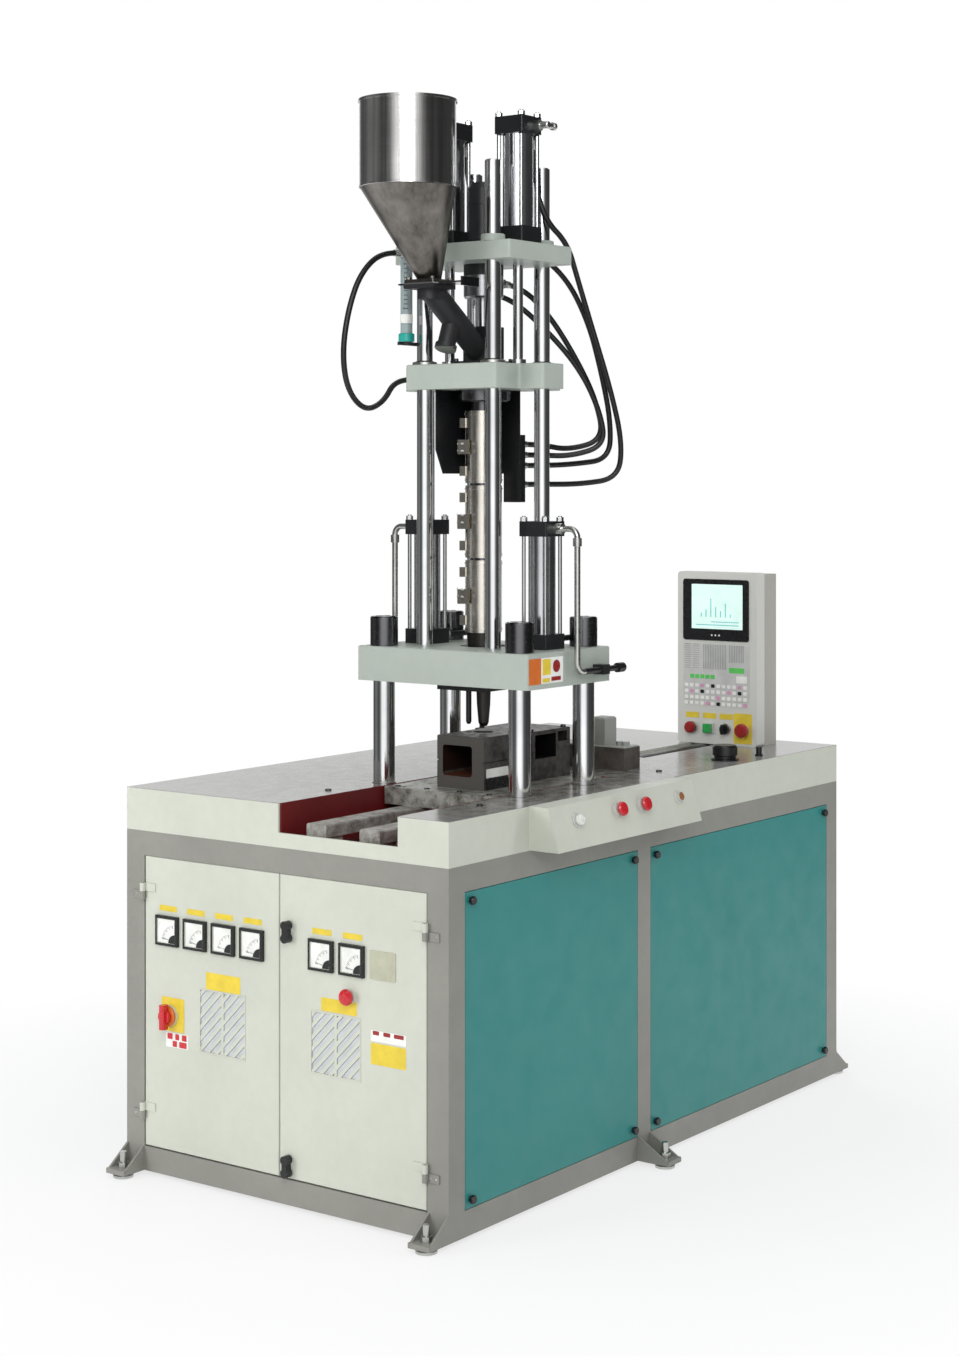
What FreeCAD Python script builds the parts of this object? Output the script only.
import FreeCAD, Part
import math
import os

# Vertical screw injection moulding machine with a sliding mould table.
# Millimetres. Origin: centre of the base on the floor. +X runs from the
# cabinet doors to the control box, -Y is the operator's side, +Z is up.

V = FreeCAD.Vector
os.makedirs("parts", exist_ok=True)

# ---- driving dimensions -------------------------------------------------
BASE_LENGTH = 1843.0
BASE_WIDTH = 1000.0
TUBE = 60.0                 # square section of the frame
FRAME_BOTTOM = 11.0
FRAME_TOP = 847.0
DECK_HEIGHT = 104.0
TOWER_X = -348.0            # moulding axis
TOWER_Y = -176.0
RUN = 0.05                  # radial running clearance

X1 = BASE_LENGTH / 2
Y1 = BASE_WIDTH / 2
Y0 = Y1 - TUBE              # inner face of the long rails
X0 = X1 - TUBE
RAIL_LOW = FRAME_BOTTOM + TUBE
RAIL_HIGH = FRAME_TOP - TUBE
DECK_TOP = FRAME_TOP + DECK_HEIGHT
MID_POST_X = -108.5
BEAM_XS = (TOWER_X - 212, TOWER_X + 212)    # cross beams under the bolster
BEAM_END = Y1 - 22
FLOOR_BAR_XS = (-X1 + 221.5, 100.0, X1 - 221.5)

SHEET = 2.0                 # cover panels
PANEL_RETURN = 18.0
PANEL_GAP = 1.5
KNOB_INSET = 20.0

DECK_WALL = 6.0
DECK_PLATE = 12.0
TABLE_THICK = 43.0
TABLE_X = (TOWER_X - 190, TOWER_X + 288)
TABLE_Y = (TOWER_Y - 169, TOWER_Y + 169)
CHANNEL_Y = (TABLE_Y[0] - 10, TABLE_Y[1] + 10)      # trough that the mould table slides in
CHANNEL_END = TABLE_X[1] + 5
TRAY = 4.0
RAIL_Y = (TOWER_Y - 80.0, TOWER_Y + 80.0)
RAIL_WIDTH = 60.0
RAIL_Z = (DECK_TOP - TABLE_THICK - 30, DECK_TOP - TABLE_THICK)
NOTCH_Z = RAIL_Z[0] + 4

TIE_X, TIE_Y, TIE_R = 138.0, 208.5, 27.5
COLUMN_AT, COLUMN_R = 105.0, 20.0
MOULD_TOP = DECK_TOP + 129
PLATEN_BOTTOM = DECK_TOP + 259
PLATEN_THICK = 86.0
PLATEN_Z = (PLATEN_BOTTOM, PLATEN_BOTTOM + PLATEN_THICK)

CARRIAGE_CYL_Y = 178.0
CARRIAGE_BOTTOM = PLATEN_Z[1] + 640
CARRIAGE_THICK = 62.0
CARRIAGE_Z = (CARRIAGE_BOTTOM, CARRIAGE_BOTTOM + CARRIAGE_THICK)
INJECT_CYL_Y = 106.0
INJECT_BOTTOM = CARRIAGE_Z[1] + 252
INJECT_THICK = 45.0
INJECT_Z = (INJECT_BOTTOM, INJECT_BOTTOM + INJECT_THICK)
COLUMN_TOP = INJECT_Z[1] + 200
BARREL_R, BARREL_BORE = 35.0, 18.0
BARREL_LENGTH = 606.0       # from the carriage down to the nozzle
BARREL_Z = CARRIAGE_Z[0] - BARREL_LENGTH

HINGE_X, HINGE_Y = -X1 - 7.5, Y0 - 1
DOOR_Z = (RAIL_LOW + 3, RAIL_HIGH - 1)
HINGE_ZS = (DOOR_Z[0] + 86, DOOR_Z[1] - 86)
DOOR_Y = (1.5, Y0 - 3)
DOOR_DEPTH = 20.0
DOOR_SHEET = 2.5

BOX_X = (X1 - 196.5, X1 - 150.5, X1 - 74.5)
BOX_Y = (TOWER_Y - 174, TOWER_Y + 86)
BOX_HEIGHT = 494.0
BOX_Z = (DECK_TOP, DECK_TOP + BOX_HEIGHT)


# ---- helpers ------------------------------------------------------------
def box(x, y, z):
    return Part.makeBox(x[1] - x[0], y[1] - y[0], z[1] - z[0],
                        V(x[0], y[0], z[0]))


def around(x, y, half_x, half_y, z):
    return box((x - half_x, x + half_x), (y - half_y, y + half_y), z)


def cyl(r, z, x=TOWER_X, y=TOWER_Y):
    return Part.makeCylinder(r, z[1] - z[0], V(x, y, z[0]))


def rod(r, start, end):
    a, b = V(*start), V(*end)
    return Part.makeCylinder(r, (b - a).Length, a, b - a)


def fuse(*shapes):
    flat = []
    for s in shapes:
        flat.extend(s if isinstance(s, (list, tuple)) else [s])
    if len(flat) == 1:
        return flat[0]
    return flat[0].multiFuse(flat[1:]).removeSplitter()


def cut(shape, *tools):
    flat = []
    for t in tools:
        flat.extend(t if isinstance(t, (list, tuple)) else [t])
    return shape.cut(flat[0] if len(flat) == 1 else Part.makeCompound(flat))


def polygon(points):
    pts = [V(*p) for p in points]
    return Part.Face(Part.makePolygon(pts + [pts[0]]))


def hexagon(r, z, x, y):
    pts = [(x + r * math.cos(k * math.pi / 3), y + r * math.sin(k * math.pi / 3), z[0])
           for k in range(6)]
    return polygon(pts).extrude(V(0, 0, z[1] - z[0]))


def turned(profile, x, y, z=0.0):
    """Solid of revolution about a vertical axis from (radius, height) pairs."""
    face = polygon([(x + r, y, z + h) for r, h in profile])
    return face.revolve(V(x, y, 0), V(0, 0, 1), 360)


def turned_along(profile, origin, axis):
    """Solid of revolution about any axis from (radius, distance) pairs."""
    face = polygon([(r, 0, h) for r, h in profile])
    solid = face.revolve(V(0, 0, 0), V(0, 0, 1), 360)
    solid.Placement = FreeCAD.Placement(
        V(*origin), FreeCAD.Rotation(V(0, 0, 1), V(*axis)))
    return solid


def chamfer_top(shape, z, size):
    edges = [e for e in shape.Edges
             if abs(e.BoundBox.ZMin - z) < 1e-3 and abs(e.BoundBox.ZMax - z) < 1e-3]
    return shape.makeChamfer(size, edges) if edges else shape


def round_vertical(shape, size):
    edges = [e for e in shape.Edges
             if e.BoundBox.ZLength > 1 and e.BoundBox.XLength < 1e-3
             and e.BoundBox.YLength < 1e-3]
    return shape.makeFillet(size, edges)


def four(dx, dy, x=TOWER_X, y=TOWER_Y):
    return [(x + sx * dx, y + sy * dy) for sx in (-1, 1) for sy in (-1, 1)]


NODES = {}


def add(name, *shapes):
    flat = []
    for s in shapes:
        flat.extend(s if isinstance(s, (list, tuple)) else [s])
    NODES[name] = flat[0] if len(flat) == 1 else Part.makeCompound(flat)


# ---- base ---------------------------------------------------------------
FOOT_REACH = 72.0
MID_FOOT_REACH = 90.0
STUD_R = 8.0


def foot_plate(x, y, direction, reach):
    """Plate with a stud hole and two gussets, welded to the frame at (x, y)."""
    plate = Part.makeBox(reach, TUBE, 12, V(0, -TUBE / 2, FRAME_BOTTOM))
    plate = plate.cut(Part.makeCylinder(STUD_R + RUN, 12, V(reach - 29, 0, FRAME_BOTTOM)))
    rib = polygon([(0, 0, 23), (reach - 8, 0, 23), (0, 0, 72)])
    ribs = [rib.extrude(V(0, 6, 0)).translated(V(0, s, 0)) for s in (-TUBE / 2, TUBE / 2 - 6)]
    foot = plate.multiFuse(ribs)
    foot.Placement = FreeCAD.Placement(V(x, y, 0), FreeCAD.Rotation(V(1, 0, 0), V(*direction)))
    return foot


def foot_places():
    y = Y1 - TUBE / 2
    places = [(sx * X1, sy * y, (sx, 0, 0), FOOT_REACH) for sx in (-1, 1) for sy in (-1, 1)]
    places += [(MID_POST_X, sy * Y1, (0, sy, 0), MID_FOOT_REACH) for sy in (-1, 1)]
    return places


def hinge_leaf(side):
    """Frame half of both hinges: leaf, lower knuckle and pin."""
    parts = []
    for z in HINGE_ZS:
        ys = sorted((side * HINGE_Y, side * (HINGE_Y + 36)))
        parts += [box((-X1 - 3, -X1), ys, (z - 20, z)),
                  cyl(7, (z - 20, z), HINGE_X, side * HINGE_Y),
                  cyl(4, (z - 20, z + 20), HINGE_X, side * HINGE_Y)]
    return parts


def panel_openings():
    """Side openings as (low x, high x) along the long rails."""
    return [(-X0, MID_POST_X - TUBE / 2), (MID_POST_X + TUBE / 2, X0)]


def base_frame():
    bars = []
    for sx in (-1, 1):
        xs = sorted((sx * X0, sx * X1))
        bars += [box(xs, (-Y1, Y1), z) for z in ((FRAME_BOTTOM, RAIL_LOW), (RAIL_HIGH, FRAME_TOP))]
        bars += [box(xs, sorted((sy * Y0, sy * Y1)), (FRAME_BOTTOM, FRAME_TOP)) for sy in (-1, 1)]
    for sy in (-1, 1):
        ys = sorted((sy * Y0, sy * Y1))
        bars += [box((-X1, X1), ys, z) for z in ((FRAME_BOTTOM, RAIL_LOW), (RAIL_HIGH, FRAME_TOP))]
        bars.append(around(MID_POST_X, sy * (Y1 - TUBE / 2), TUBE / 2, TUBE / 2,
                           (FRAME_BOTTOM, FRAME_TOP)))
    for x in BEAM_XS:
        bars.append(box((x - TUBE / 2, x + TUBE / 2), (-BEAM_END, BEAM_END),
                        (RAIL_HIGH - TUBE, RAIL_HIGH)))
    for x in FLOOR_BAR_XS:
        bars.append(box((x - TUBE / 2, x + TUBE / 2), (-Y0, Y0), (FRAME_BOTTOM, RAIL_LOW)))
    tabs = []
    for lo, hi in panel_openings():
        for sy in (-1, 1):
            ys = sorted((sy * (Y1 - PANEL_RETURN), sy * (Y1 - PANEL_RETURN - 4)))
            for xs in ((lo, lo + 40), (hi - 40, hi)):
                tabs += [box(xs, ys, (RAIL_LOW, RAIL_LOW + 40)),
                         box(xs, ys, (RAIL_HIGH - 40, RAIL_HIGH))]
    for sy in (-1, 1):
        ys = sorted((sy * Y0, sy * (Y0 - 40)))
        xs = (X1 - PANEL_RETURN - 4, X1 - PANEL_RETURN)
        tabs += [box(xs, ys, (RAIL_LOW, RAIL_LOW + 40)), box(xs, ys, (RAIL_HIGH - 40, RAIL_HIGH))]
    feet = [foot_plate(*p) for p in foot_places()]
    add("base_frame", fuse(bars, tabs, feet, hinge_leaf(1), hinge_leaf(-1)))


def levelling_feet():
    feet = []
    for x, y, d, reach in foot_places():
        px, py = x + d[0] * (reach - 29), y + d[1] * (reach - 29)
        pad = turned([(0, 0), (25, 0), (25, 6), (20, FRAME_BOTTOM), (0, FRAME_BOTTOM)], px, py)
        nut = hexagon(14, (23, 36), px, py)
        feet.append(fuse(pad, cyl(STUD_R, (8, 62), px, py), nut))
    add("levelling_feet", feet)


CLAMP_CYL_BOTTOM = RAIL_HIGH - 317
RAM_R = 80.0


def bolster_plate():
    plate = box((TOWER_X - 240, TOWER_X + 240), (-Y0, Y0), (RAIL_HIGH, FRAME_TOP))
    places = four(TIE_X, TIE_Y)
    rings = [turned([(0, 0), (38, 0), (38, 17), (41, 20), (0, 20)], x, y, RAIL_HIGH - 20)
             for x, y in places]
    bores = [cyl(TIE_R + RUN, (RAIL_HIGH - 30, FRAME_TOP + 1), x, y) for x, y in places]
    add("bolster_plate", cut(fuse(plate, rings), bores))


def clamp_cylinder():
    """Cylinder hung under the bolster: flange, bolts and an oil port."""
    low, flange = CLAMP_CYL_BOTTOM, RAIL_HIGH - 30
    body = turned([(RAM_R + RUN, low), (114, low), (120, low + 6), (120, flange), (150, flange),
                   (150, RAIL_HIGH), (0, RAIL_HIGH), (0, RAIL_HIGH - 15), (RAM_R + 2, RAIL_HIGH - 15),
                   (RAM_R + 2, low + 30), (RAM_R + RUN, low + 30)], TOWER_X, TOWER_Y)
    bolts = []
    for k in range(8):
        a = math.pi / 8 + k * math.pi / 4
        bolts.append(hexagon(10, (flange - 12, flange),
                             TOWER_X + 135 * math.cos(a), TOWER_Y + 135 * math.sin(a)))
    port_z = flange - 27
    port = rod(16, (TOWER_X, TOWER_Y + 110, port_z), (TOWER_X, TOWER_Y + 150, port_z))
    port = port.cut(rod(9, (TOWER_X, TOWER_Y + 125, port_z), (TOWER_X, TOWER_Y + 150, port_z)))
    add("clamp_cylinder", fuse(body, bolts, port))


# ---- covers -------------------------------------------------------------
def side_pan(lo, hi, side):
    """Inset pan: sheet flush with the frame, returns folded inwards."""
    z = (RAIL_LOW + PANEL_GAP, RAIL_HIGH - PANEL_GAP)
    x = (lo + PANEL_GAP, hi - PANEL_GAP)
    outer = sorted((side * Y1, side * (Y1 - PANEL_RETURN)))
    inner = sorted((side * (Y1 - SHEET), side * (Y1 - PANEL_RETURN)))
    block = box(x, outer, z)
    edges = [e for e in block.Edges if e.BoundBox.YLength > 1]
    block = block.makeFillet(3, edges)
    return block.cut(box((x[0] + SHEET, x[1] - SHEET), inner, (z[0] + SHEET, z[1] - SHEET)))


def end_pan():
    z = (RAIL_LOW + PANEL_GAP, RAIL_HIGH - PANEL_GAP)
    y = (-Y0 + 2, Y0 - 2)
    block = box((X1 - PANEL_RETURN, X1), y, z)
    block = block.makeFillet(3, [e for e in block.Edges if e.BoundBox.XLength > 1])
    return block.cut(box((X1 - PANEL_RETURN, X1 - SHEET), (y[0] + SHEET, y[1] - SHEET),
                         (z[0] + SHEET, z[1] - SHEET)))


def cover_panels():
    pans = [side_pan(lo, hi, side) for lo, hi in panel_openings() for side in (-1, 1)]
    add("cover_panels", pans, end_pan())


def panel_knobs():
    profile = [(0, 0), (7, 0), (7, 4), (10, 5), (10, 10), (8.5, 12), (0, 12)]
    z = (RAIL_LOW + PANEL_GAP + KNOB_INSET, RAIL_HIGH - PANEL_GAP - KNOB_INSET)
    knobs = []
    for lo, hi in panel_openings():
        for side in (-1, 1):
            for x in (lo + PANEL_GAP + KNOB_INSET, hi - PANEL_GAP - KNOB_INSET):
                knobs += [turned_along(profile, (x, side * Y1, h), (0, side, 0)) for h in z]
    for y in (-Y0 + 2 + KNOB_INSET, Y0 - 2 - KNOB_INSET):
        knobs += [turned_along(profile, (X1, y, h), (1, 0, 0)) for h in z]
    add("panel_knobs", knobs)


# ---- deck ---------------------------------------------------------------
TABLE_CYL_Z = DECK_TOP - 29
TABLE_CYL_X = (CHANNEL_END + 390, BOX_X[0] + 10)
TABLE_CAP = 12.0
TABLE_ROD_R = 12.5


def deck():
    shell = box((-X1, X1), (-Y1, Y1), (FRAME_TOP, DECK_TOP))
    hollow = box((-X1 + DECK_WALL, X1 - DECK_WALL), (-Y1 + DECK_WALL, Y1 - DECK_WALL),
                 (FRAME_TOP, DECK_TOP - DECK_PLATE))
    channel = box((-X1 + DECK_WALL, CHANNEL_END), CHANNEL_Y, (NOTCH_Z, DECK_TOP))
    notch = box((-X1, -X1 + DECK_WALL + 1), CHANNEL_Y, (NOTCH_Z, DECK_TOP))
    holes = [cyl(TIE_R + 3.5, (FRAME_TOP, DECK_TOP), x, y) for x, y in four(TIE_X, TIE_Y)]
    slot = box((TABLE_CYL_X[0] - 1, TABLE_CYL_X[1] + 5), (TOWER_Y - 45, TOWER_Y + 45),
               (DECK_TOP - DECK_PLATE - 9, DECK_TOP))
    add("deck", cut(shell, hollow, channel, notch, holes, slot))


def channel_tray():
    x = (-X1 + DECK_WALL, CHANNEL_END)
    block = box(x, CHANNEL_Y, (FRAME_TOP, DECK_TOP))
    inner = box((x[0], x[1] - TRAY), (CHANNEL_Y[0] + TRAY, CHANNEL_Y[1] - TRAY),
                (FRAME_TOP + TRAY, DECK_TOP))
    rod_hole = rod(TABLE_ROD_R + 4, (x[1] - 10, TOWER_Y, TABLE_CYL_Z), (x[1] + 10, TOWER_Y, TABLE_CYL_Z))
    add("channel_tray", cut(block, inner, rod_hole))


def table_rails():
    rails = []
    for y in RAIL_Y:
        rail = box((-X1 + 21.5, TABLE_X[1]), (y - RAIL_WIDTH / 2, y + RAIL_WIDTH / 2), RAIL_Z)
        rail = rail.makeChamfer(3, [e for e in rail.Edges if e.BoundBox.XLength > 100
                                    and e.BoundBox.ZMin > RAIL_Z[1] - 1])
        blocks = [around(x, y, 30, 22, (FRAME_TOP + TRAY, RAIL_Z[0])) 
                  for x in (-X1 + 61.5, TOWER_X - 252, TOWER_X, TABLE_X[1] - 40)]
        rails.append(fuse(rail, blocks))
    add("table_rails", rails)


CONSOLE_X = (TOWER_X - 264, TOWER_X + 378)
CONSOLE_FACE = ((-Y1 - 54, DECK_TOP), (-Y1 - 85, FRAME_TOP + 1))
CONSOLE_N = (0.0, -0.9575, 0.2884)
CONSOLE_BUTTONS = (TOWER_X + 18, TOWER_X + 126)
CONSOLE_BUTTON_Z = DECK_TOP - 36


def console_point(x, z, out=0.0):
    """Point on the sloping face of the console, or off it along its normal."""
    (ya, za), (yb, zb) = CONSOLE_FACE
    y = ya + (za - z) * (yb - ya) / (za - zb)
    return (x, y + out * CONSOLE_N[1], z + out * CONSOLE_N[2])


def operator_console():
    (ya, za), (yb, zb) = CONSOLE_FACE
    length = V(CONSOLE_X[1] - CONSOLE_X[0], 0, 0)
    outer = polygon([(CONSOLE_X[0], y, z) for y, z in ((-Y1, za), (ya, za), (yb, zb), (-Y1, zb))])
    inner = polygon([(CONSOLE_X[0] + 3, y, z) for y, z in
                     ((-Y1, za - 3), (ya + 2.2, za - 3), (yb + 4.1, zb + 3), (-Y1, zb + 3))])
    shell = outer.extrude(length).cut(inner.extrude(length - V(6, 0, 0)))
    fittings = []
    for x in CONSOLE_BUTTONS:
        fittings.append(rod(15, console_point(x, CONSOLE_BUTTON_Z, -2), console_point(x, CONSOLE_BUTTON_Z, 6)))
    key, plug = CONSOLE_X[0] + 102, CONSOLE_X[1] - 84
    fittings += [rod(12, console_point(key, CONSOLE_BUTTON_Z - 4, -2),
                     console_point(key, CONSOLE_BUTTON_Z - 4, 14)),
                 rod(11, console_point(plug, CONSOLE_BUTTON_Z, -2), console_point(plug, CONSOLE_BUTTON_Z, 12))]
    shell = fuse(shell, fittings)
    stems = [rod(8 + RUN, console_point(x, CONSOLE_BUTTON_Z, -20), console_point(x, CONSOLE_BUTTON_Z, 20))
             for x in CONSOLE_BUTTONS]
    add("operator_console", cut(shell, stems))


def mushroom(origin, axis, r, stem, inside=16.0, reach=24.0, gap=7.0):
    """Mushroom push button: stem, flare and domed head."""
    profile = [(0, -inside), (stem, -inside), (stem, gap), (r, gap + 2), (r, reach - 6),
               (r * 0.86, reach - 1.8), (r * 0.5, reach), (0, reach)]
    return turned_along(profile, origin, axis)


def console_buttons():
    for name, x in zip(("console_button_left", "console_button_right"), CONSOLE_BUTTONS):
        add(name, mushroom(console_point(x, CONSOLE_BUTTON_Z), CONSOLE_N, 18, 8, reach=22.0, gap=12.0))


def oil_filler_cap():
    cap = turned([(0, 0), (38, 0), (38, 4), (30, 6), (30, 12), (34, 14), (34, 36), (29, 41), (0, 41)],
                 423, -Y1 + 77, DECK_TOP)
    plug = turned([(0, 0), (11, 0), (11, 5), (8, 6), (8, 23), (6, 25), (0, 25)], 556, -Y1 + 47, DECK_TOP)
    add("oil_filler_cap", cap, plug)


def table_drive():
    y, z = TOWER_Y, TABLE_CYL_Z
    a, b = TABLE_CYL_X
    caps = []
    for lo, hi in ((a, a + TABLE_CAP), (b - TABLE_CAP, b)):
        caps.append(box((lo, hi), (y - 60, y + 60), (z - 28, DECK_TOP - DECK_PLATE)))
    tube = rod(28, (a, y, z), (b, y, z)).cut(rod(24, (a + TABLE_CAP, y, z), (b - TABLE_CAP, y, z)))
    gland = rod(TABLE_ROD_R + RUN, (a - 1, y, z), (a + TABLE_CAP + 1, y, z))
    add("table_cylinder", cut(fuse(tube, caps), gland))
    head = b - TABLE_CAP - 2
    add("table_push_rod", fuse(rod(TABLE_ROD_R, (TABLE_X[1], y, z), (head, y, z)),
                               rod(23.5, (head - 12, y, z), (head, y, z))))


def slide_table():
    plate = round_vertical(box(TABLE_X, TABLE_Y, (RAIL_Z[1], DECK_TOP)), 6)
    plate = chamfer_top(plate, DECK_TOP, 2)
    taps = [cyl(7, (DECK_TOP - 20, DECK_TOP), x, y)
            for x in (TABLE_X[0] + 20, TABLE_X[1] - 20) for y in (TOWER_Y - 120, TOWER_Y + 120)]
    add("slide_table", cut(plate, taps))


def table_bridge():
    """Beam across the channel's end with a raised stop block."""
    x, top = CHANNEL_END + 115, DECK_TOP + 62
    beam = chamfer_top(box((x, x + 76), (TOWER_Y - 156, TOWER_Y + 156), (DECK_TOP, top)), top, 3)
    block = chamfer_top(box((x + 10, x + 66), (TOWER_Y - 89, TOWER_Y - 41), (top, top + 72)), top + 72, 4)
    bolts = [hexagon(11, (top, top + 10), x + 38, TOWER_Y + dy) for dy in (-136, -119, 116, 136)]
    add("table_bridge", fuse(beam, block, bolts))


# ---- doors --------------------------------------------------------------
METER = 72.0
METER_PITCH = 92.0
METER_Z = DOOR_Z[1] - 176
DOOR_MID = (DOOR_Y[0] + DOOR_Y[1]) / 2
METERS = {1: [DOOR_MID + 2 + k * METER_PITCH for k in (1.5, 0.5, -0.5, -1.5)],
          -1: [-DOOR_MID + 42 + k * METER_PITCH for k in (0.5, -0.5)]}
VENT_TOP = DOOR_Z[1] - 306
VENTS = {1: ((DOOR_MID - 110, DOOR_MID + 33), (VENT_TOP - 148, VENT_TOP)),
         -1: ((-DOOR_MID - 25, -DOOR_MID + 119), (VENT_TOP - 144, VENT_TOP - 4))}
SWITCH = (DOOR_MID + 132.75, DOOR_Z[1] - 382)
DOOR_BUTTON = (3.25 - DOOR_MID, DOOR_Z[1] - 260)
LOCK_Y, LOCK_ZS = -DOOR_Y[0] - 30.5, (DOOR_Z[0] + 31, DOOR_Z[1] - 132)
SHAFT_R = 6.0


def meter(y):
    """Square panel meter with a bevelled bezel and a sunk dial."""
    half = METER / 2
    body = box((-X1 - 9, -X1), (y - half, y + half), (METER_Z - half, METER_Z + half))
    body = body.makeChamfer(3, [e for e in body.Edges if e.BoundBox.XLength < 1e-3
                                and e.BoundBox.XMin < -X1 - 8])
    dial = box((-X1 - 9, -X1 - 6), (y - half + 7, y + half - 7), (METER_Z - half + 7, METER_Z + half - 7))
    return body.cut(dial)


def slats(y, z):
    """Diagonal strips left between the punched slots of a vent."""
    cy, cz = sum(y) / 2, sum(z) / 2
    window = box((-X1 - 1, -X1 + DOOR_SHEET), y, z)
    strips = []
    for k in range(-5, 6):
        bar = Part.makeBox(DOOR_SHEET, 9, 320, V(-X1, -4.5 + k * 19, -160))
        bar.rotate(V(0, 0, 0), V(1, 0, 0), 45)
        strips.append(bar.translated(V(0, cy, cz)).common(window))
    mullion = box((-X1, -X1 + DOOR_SHEET), (cy - 4, cy + 4), z)
    return [s for s in strips if s.Volume > 1] + [mullion]


def door(side):
    y = sorted(side * v for v in DOOR_Y)
    front = (-X1, -X1 + DOOR_DEPTH)
    leaf = box(front, y, DOOR_Z)
    leaf = leaf.makeFillet(3, [e for e in leaf.Edges if e.BoundBox.XLength < 1e-3
                               and e.BoundBox.XMin < -X1 + 1])
    t = DOOR_SHEET
    leaf = leaf.cut(box((-X1 + t, front[1]), (y[0] + t, y[1] - t), (DOOR_Z[0] + t, DOOR_Z[1] - t)))
    vy, vz = VENTS[side]
    leaf = leaf.cut(box((-X1 - 1, -X1 + t + 1), vy, vz))
    parts = [leaf] + slats(vy, vz) + [meter(m) for m in METERS[side]]
    bores = []
    for z in HINGE_ZS:
        ys = sorted((side * HINGE_Y, side * (HINGE_Y - 38)))
        parts += [box((-X1 - 3, -X1), ys, (z, z + 20)), cyl(7, (z, z + 20), HINGE_X, side * HINGE_Y)]
        bores.append(cyl(4 + RUN, (z, z + 20), HINGE_X, side * HINGE_Y))
    if side > 0:
        parts.append(rod(26, (-X1 - 8, *SWITCH), (-X1, *SWITCH)))
        bores.append(rod(SHAFT_R + RUN, (-X1 - 9, *SWITCH), (-X1 + 5, *SWITCH)))
    else:
        parts.append(rod(17, (-X1 - 6, *DOOR_BUTTON), (-X1, *DOOR_BUTTON)))
        bores.append(rod(8 + RUN, (-X1 - 9, *DOOR_BUTTON), (-X1 + 5, *DOOR_BUTTON)))
        for z in LOCK_ZS:
            parts.append(rod(11, (-X1 - 3, LOCK_Y, z), (-X1, LOCK_Y, z)))
            bores.append(rod(SHAFT_R + RUN, (-X1 - 9, LOCK_Y, z), (-X1 + 5, LOCK_Y, z)))
    return cut(fuse(parts), bores)


def doors():
    add("left_door", door(1))
    add("right_door", door(-1))


def main_switch_handle():
    y, z = SWITCH
    shaft = rod(SHAFT_R, (-X1 - 20, y, z), (-X1 + 14, y, z))
    boss = rod(17, (-X1 - 26, y, z), (-X1 - 8, y, z))
    grip = box((-X1 - 34, -X1 - 14), (y - 8, y + 8), (z - 30, z + 30))
    grip = grip.makeFillet(4, [e for e in grip.Edges if e.BoundBox.ZLength > 50])
    add("main_switch_handle", fuse(shaft, boss, grip))


def door_locks():
    """Two-lobed wing knob outside, shaft, and a tongue behind the leaf."""
    for name, z in zip(("door_lock_lower", "door_lock_upper"), LOCK_ZS):
        out = (-X1 - 21, -X1 - 3)
        lobes = [rod(11, (out[0], LOCK_Y, z + s * 15), (out[1], LOCK_Y, z + s * 15)) for s in (-1, 1)]
        web = box(out, (LOCK_Y - 7, LOCK_Y + 7), (z - 15, z + 15))
        shaft = rod(SHAFT_R, (-X1 - 10, LOCK_Y, z), (-X1 + DOOR_DEPTH + 6, LOCK_Y, z))
        tongue = box((-X1 + DOOR_DEPTH + 1.5, -X1 + DOOR_DEPTH + 6), (LOCK_Y - 9, LOCK_Y + 9),
                     (z - 10, z + 50))
        add(name, fuse(lobes, web, shaft, tongue))


def door_stop_button():
    add("door_stop_button", mushroom((-X1, *DOOR_BUTTON), (-1, 0, 0), 19, 8, gap=12.0))


# ---- control box --------------------------------------------------------
BEZEL_Y, BEZEL_Z = (BOX_Y[0] + 23, BOX_Y[1] - 20), (BOX_Z[1] - 196, BOX_Z[1] - 21)
LCD_Y, LCD_Z = (BEZEL_Y[0] + 20, BEZEL_Y[1] - 29), (BEZEL_Z[0] + 33, BEZEL_Z[1] - 14)
KEYPAD_Z = (BEZEL_Z[0] - 173, BEZEL_Z[0] - 13)
BUTTON_Z = DECK_TOP + 46
STOP_Y, START_Y, SELECTOR_Y, ESTOP_Y = [BOX_Y[1] - d for d in (49, 106, 161, 221)]


def control_box():
    front, seam, back = BOX_X
    shell = box((front, seam), BOX_Y, BOX_Z)
    shell = shell.makeFillet(10, [e for e in shell.Edges if e.BoundBox.XLength > 10])
    body = box((seam, back), (BOX_Y[0] + 5, BOX_Y[1] - 5), (BOX_Z[0], BOX_Z[1] - 5))
    bezel = box((front - 4, front), BEZEL_Y, BEZEL_Z)
    bezel = bezel.makeFillet(8, [e for e in bezel.Edges if e.BoundBox.XLength > 3])
    keypad = box((front - 1.5, front), BEZEL_Y, KEYPAD_Z)
    collars = [rod(15, (front - 5, y, BUTTON_Z), (front, y, BUTTON_Z))
               for y in (STOP_Y, SELECTOR_Y, ESTOP_Y)]
    collars.append(box((front - 5, front), (START_Y - 15, START_Y + 15), (BUTTON_Z - 15, BUTTON_Z + 15)))
    hollow = box((front + 4, back - 4), (BOX_Y[0] + 12, BOX_Y[1] - 12), (BOX_Z[0] + 6, BOX_Z[1] - 12))
    screen = box((front - 4, front - 1.5), LCD_Y, LCD_Z)
    holes = [rod(r + RUN, (front - 6, y, BUTTON_Z), (front + 5, y, BUTTON_Z))
             for y, r in ((STOP_Y, 8), (START_Y, 8), (SELECTOR_Y, SHAFT_R), (ESTOP_Y, 8))]
    cable_way = cyl(25, (BOX_Z[0], BOX_Z[0] + 8), seam + 35, sum(BOX_Y) / 2)
    add("control_box", cut(fuse(shell, body, bezel, keypad, collars), hollow, screen, holes, cable_way))


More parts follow.
